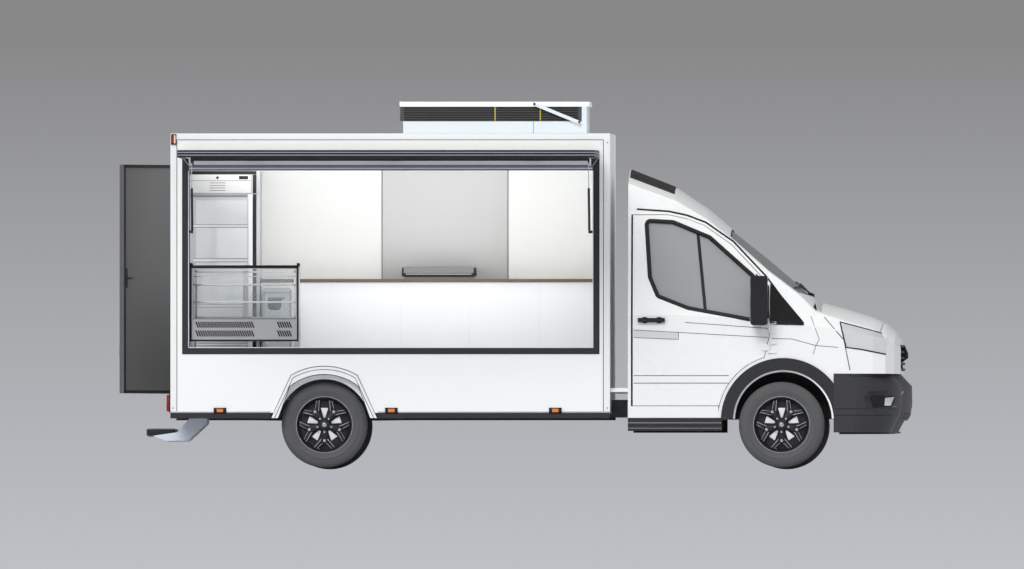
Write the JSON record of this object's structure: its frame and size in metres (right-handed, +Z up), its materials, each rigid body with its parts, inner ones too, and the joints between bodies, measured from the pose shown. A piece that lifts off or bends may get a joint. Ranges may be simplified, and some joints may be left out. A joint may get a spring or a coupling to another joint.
{
  "type": "food truck",
  "caption": "Box-bodied food truck with a serving hatch in its side, a roof vent unit, a fitted kitchen and an open rear door.",
  "frame": {"origin": "on the ground, in the middle of the length and of the width over the open flap and door", "axes": "+X forward, +Y to the vehicle's left, +Z up"},
  "size_m": [6.4999, 4.039, 3.0039],
  "materials": {
    "cab_paint": "gloss white paint",
    "panel_skin": "smooth white laminate",
    "profile_paint": "white coated extrusion",
    "black_frame": "satin black coating",
    "black_plastic": "grained black plastic",
    "gloss_black": "smooth black plastic",
    "flare_white": "gloss white plastic",
    "chassis_coat": "chassis coating",
    "cast_black": "as cast",
    "floor_sheet": "tread sheet",
    "door_grey": "satin grey paint",
    "steel": "brushed",
    "cabinet_white": "satin white",
    "counter_top": "brown laminate",
    "case_grey": "satin grey",
    "case_glass": "clear",
    "cab_glass": "tinted",
    "rim_black": "gloss black",
    "tyre": "road tyre",
    "lamp_clear": "clear lens over chrome",
    "lamp_red": "red lens",
    "lamp_amber": "amber lens",
    "band_dark": "dark louvre",
    "trim_plastic": "soft grey plastic",
    "seat_fabric": "woven",
    "bin_grey": "grey plastic",
    "rod_steel": "polished",
    "bracket_grey": "light grey paint"
  },
  "bodies": {
    "truck_body": {"arch_cladding": "black_plastic", "arch_flares": "flare_white", "back_counter": "cabinet_white", "body_rails": "black_frame", "box_floor": "floor_sheet", "box_front_wall": "panel_skin", "box_left_wall": "panel_skin", "box_rear_wall": "panel_skin", "box_right_wall": "panel_skin", "box_roof": "panel_skin", "cab_floor": "trim_plastic", "cab_shell": "cab_paint", "chassis_frame": "chassis_coat", "dashboard": "trim_plastic", "display_case": "case_grey", "display_glass": "case_glass", "edge_profiles": "profile_paint", "engine_block": "cast_black", "fridge": "steel", "front_bumper": "black_plastic", "front_suspension": "chassis_coat", "griddle": "steel", "grille": "black_plastic", "hatch_frame": "black_frame", "headlamps": "lamp_clear", "marker_lamps": "lamp_amber", "rear_axle": "chassis_coat", "rear_lamps": "lamp_red", "rear_step": "bracket_grey", "roof_unit": "flare_white", "roof_unit_band": "band_dark", "seats": "seat_fabric", "waste_bin": "bin_grey", "wheelhouses": "black_plastic", "windscreen": "cab_glass", "worktop": "counter_top"},
    "wheel_rear_right": {"tyre_rear_right": "tyre", "rim_rear_right": "rim_black"},
    "wheel_rear_left": {"tyre_rear_left": "tyre", "rim_rear_left": "rim_black"},
    "wheel_front_right": {"tyre_front_right": "tyre", "rim_front_right": "rim_black"},
    "wheel_front_left": {"tyre_front_left": "tyre", "rim_front_left": "rim_black"},
    "knuckle_right": {"knuckle_front_right": "cast_black"},
    "knuckle_left": {"knuckle_front_left": "cast_black"},
    "flap": {"hatch_flap": "panel_skin"},
    "barrel_rear": {"strut_barrel_rear": "black_frame"},
    "barrel_front": {"strut_barrel_front": "black_frame"},
    "rod_rear": {"strut_rod_rear": "rod_steel"},
    "rod_front": {"strut_rod_front": "rod_steel"},
    "rear_door": {"rear_door": "door_grey"},
    "cab_door_right": {"cab_door_right": "cab_paint", "door_glass_right": "cab_glass", "door_trim_right": "gloss_black"},
    "cab_door_left": {"cab_door_left": "cab_paint", "door_glass_left": "cab_glass", "door_trim_left": "gloss_black"},
    "bonnet": {"bonnet": "cab_paint"},
    "fridge_door": {"fridge_door": "steel"}
  },
  "joints": [
    {"name": "rear_right_spin", "type": "hinge", "parent": "truck_body", "child": "wheel_rear_right", "pos_m": [-1.5464, -0.1025, 0.351], "axis": [0, 1, 0], "continuous": true},
    {"name": "rear_left_spin", "type": "hinge", "parent": "truck_body", "child": "wheel_rear_left", "pos_m": [-1.5464, 1.6675, 0.351], "axis": [0, 1, 0], "continuous": true},
    {"name": "steer_right", "type": "hinge", "parent": "truck_body", "child": "knuckle_right", "pos_m": [2.2036, -0.0075, 0.351], "axis": [0, 0, 1], "range_deg": [-35, 35]},
    {"name": "steer_left", "type": "hinge", "parent": "truck_body", "child": "knuckle_left", "pos_m": [2.2036, 1.5725, 0.351], "axis": [0, 0, 1], "range_deg": [-35, 35]},
    {"name": "front_right_spin", "type": "hinge", "parent": "knuckle_right", "child": "wheel_front_right", "pos_m": [2.2036, -0.1025, 0.351], "axis": [0, 1, 0], "continuous": true},
    {"name": "front_left_spin", "type": "hinge", "parent": "knuckle_left", "child": "wheel_front_left", "pos_m": [2.2036, 1.6675, 0.351], "axis": [0, 1, 0], "continuous": true},
    {"name": "flap_hinge", "type": "hinge", "parent": "truck_body", "child": "flap", "pos_m": [-1.5464, -0.3695, 2.59], "axis": [1, 0, 0], "range_deg": [0, 90]},
    {"name": "barrel_rear_hinge", "type": "hinge", "parent": "truck_body", "child": "barrel_rear", "pos_m": [-2.628, -0.2775, 1.932], "axis": [1, 0, 0], "range_deg": [-31, 1]},
    {"name": "barrel_front_hinge", "type": "hinge", "parent": "truck_body", "child": "barrel_front", "pos_m": [0.6282, -0.2775, 1.932], "axis": [1, 0, 0], "range_deg": [-31, 1]},
    {"name": "rod_rear_slide", "type": "slide", "parent": "barrel_rear", "child": "rod_rear", "axis": [0, -0.4854, 0.8743], "range_m": [-0.19, 0.001]},
    {"name": "rod_front_slide", "type": "slide", "parent": "barrel_front", "child": "rod_front", "axis": [0, -0.4854, 0.8743], "range_m": [-0.19, 0.001]},
    {"name": "rear_door_hinge", "type": "hinge", "parent": "truck_body", "child": "rear_door", "pos_m": [-2.8194, 1.1645, 1.553], "axis": [0, 0, -1], "range_deg": [-35, 135]},
    {"name": "cab_door_right_hinge", "type": "hinge", "parent": "truck_body", "child": "cab_door_right", "pos_m": [2.1006, -0.2515, 1.067], "axis": [0, 0, 1], "range_deg": [0, 70]},
    {"name": "cab_door_left_hinge", "type": "hinge", "parent": "truck_body", "child": "cab_door_left", "pos_m": [2.1006, 1.8165, 1.067], "axis": [0, 0, -1], "range_deg": [0, 70]},
    {"name": "bonnet_hinge", "type": "hinge", "parent": "truck_body", "child": "bonnet", "pos_m": [2.5488, 0.7825, 1.2554], "axis": [0, -1, 0], "range_deg": [0, 60]},
    {"name": "fridge_door_hinge", "type": "hinge", "parent": "truck_body", "child": "fridge_door", "pos_m": [-2.6734, 1.1235, 1.499], "axis": [0, 0, -1], "range_deg": [0, 90]}
  ],
  "couplings": [
    {"joint": "steer_left", "follows": "steer_right", "ratio": 1},
    {"joint": "barrel_rear_hinge", "follows": "flap_hinge", "ratio": -0.34131},
    {"joint": "barrel_front_hinge", "follows": "flap_hinge", "ratio": -0.34131},
    {"joint": "rod_rear_slide", "follows": "flap_hinge", "m_per_rad": -0.12052},
    {"joint": "rod_front_slide", "follows": "flap_hinge", "m_per_rad": -0.12052}
  ]
}
